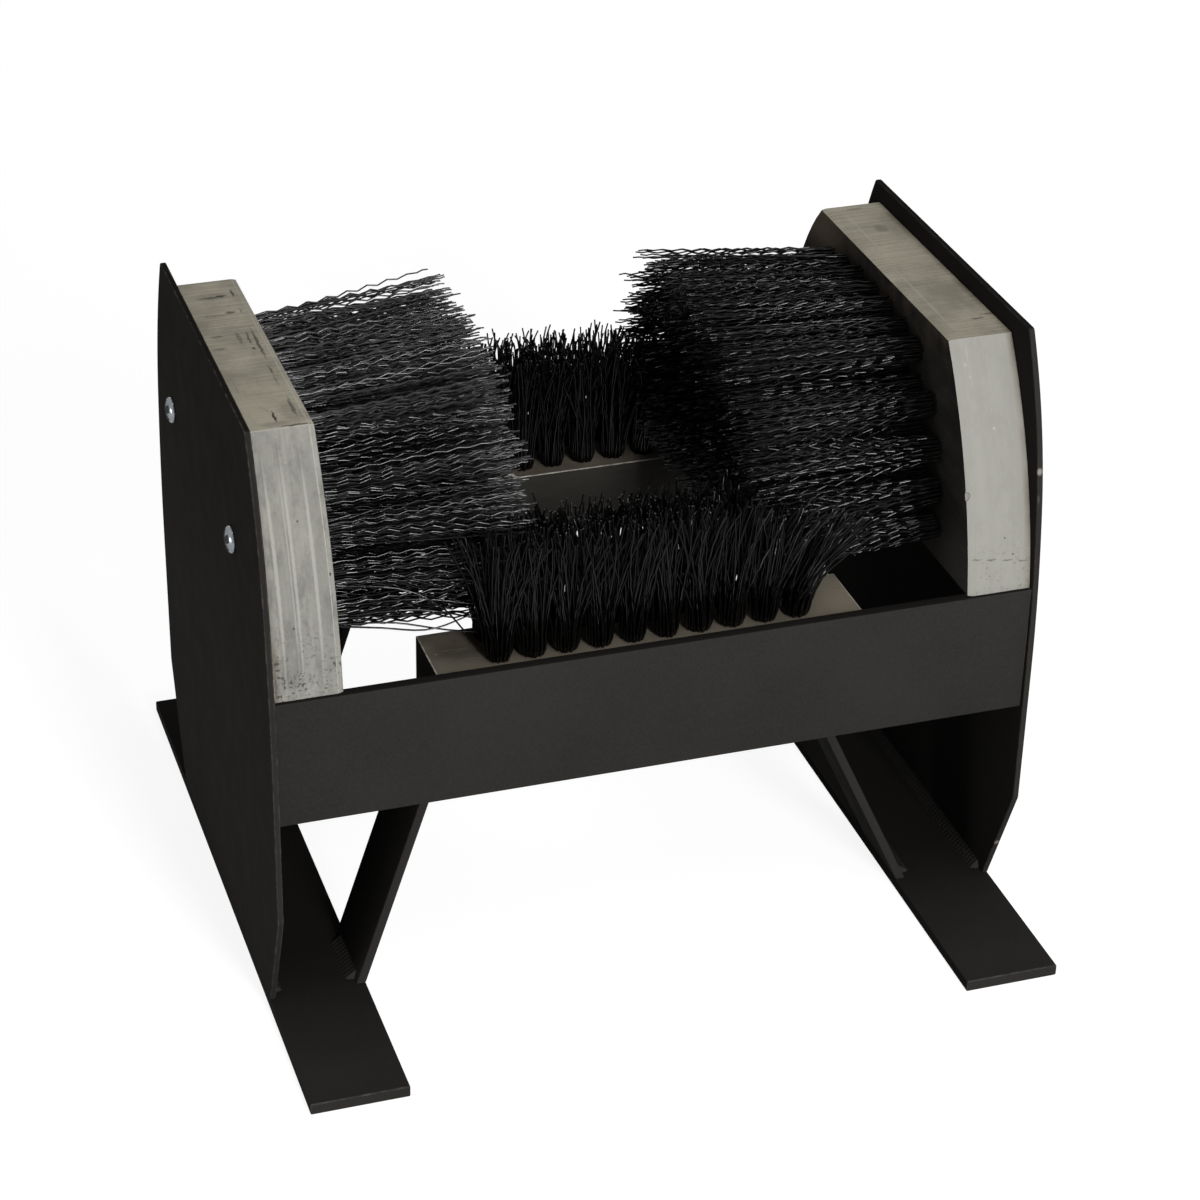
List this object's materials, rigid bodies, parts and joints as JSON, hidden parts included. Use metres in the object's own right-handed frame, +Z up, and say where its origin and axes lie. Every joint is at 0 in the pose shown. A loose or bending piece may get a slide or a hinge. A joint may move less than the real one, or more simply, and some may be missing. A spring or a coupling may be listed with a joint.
{
  "type": "boot scraper",
  "caption": "Free-standing boot scraper: welded black steel frame on flat feet, with boards of long bristles facing inwards at the sides and short upright bristles at front and rear.",
  "frame": {"origin": "on the ground, in the middle of the footprint", "axes": "+X to the right along the crossbars, +Y from the front crossbar to the rear one, +Z up"},
  "size_m": [0.4082, 0.386, 0.33],
  "materials": {
    "black_paint": "satin black paint, dusty",
    "sawn_board": "weathered grey sawn faces, matte",
    "bristles": "glossy black crimped strands",
    "zinc": "bright zinc plate"
  },
  "bodies": {
    "root": {"left_foot": "black_paint", "right_foot": "black_paint", "left_side_plate": "black_paint", "right_side_plate": "black_paint", "left_plate_weld": "black_paint", "right_plate_weld": "black_paint", "front_crossbar": "black_paint", "rear_crossbar": "black_paint", "front_left_crossbar_weld": "black_paint", "front_right_crossbar_weld": "black_paint", "rear_left_crossbar_weld": "black_paint", "rear_right_crossbar_weld": "black_paint", "front_left_brace": "black_paint", "front_right_brace": "black_paint", "rear_left_brace": "black_paint", "rear_right_brace": "black_paint", "front_left_foot_weld": "black_paint", "front_right_foot_weld": "black_paint", "rear_left_foot_weld": "black_paint", "rear_right_foot_weld": "black_paint", "front_rail": "black_paint", "rear_rail": "black_paint", "front_left_rail_weld": "black_paint", "front_right_rail_weld": "black_paint", "rear_left_rail_weld": "black_paint", "rear_right_rail_weld": "black_paint", "left_brush_board": "sawn_board", "right_brush_board": "sawn_board", "front_brush_board": "sawn_board", "rear_brush_board": "sawn_board", "left_bristles": "bristles", "right_bristles": "bristles", "front_bristles": "bristles", "rear_bristles": "bristles", "left_front_plate_screw": "zinc", "left_rear_plate_screw": "zinc", "right_front_plate_screw": "zinc", "right_rear_plate_screw": "zinc", "front_left_rail_screw": "zinc", "front_right_rail_screw": "zinc", "rear_left_rail_screw": "zinc", "rear_right_rail_screw": "zinc"}
  },
  "joints": []
}
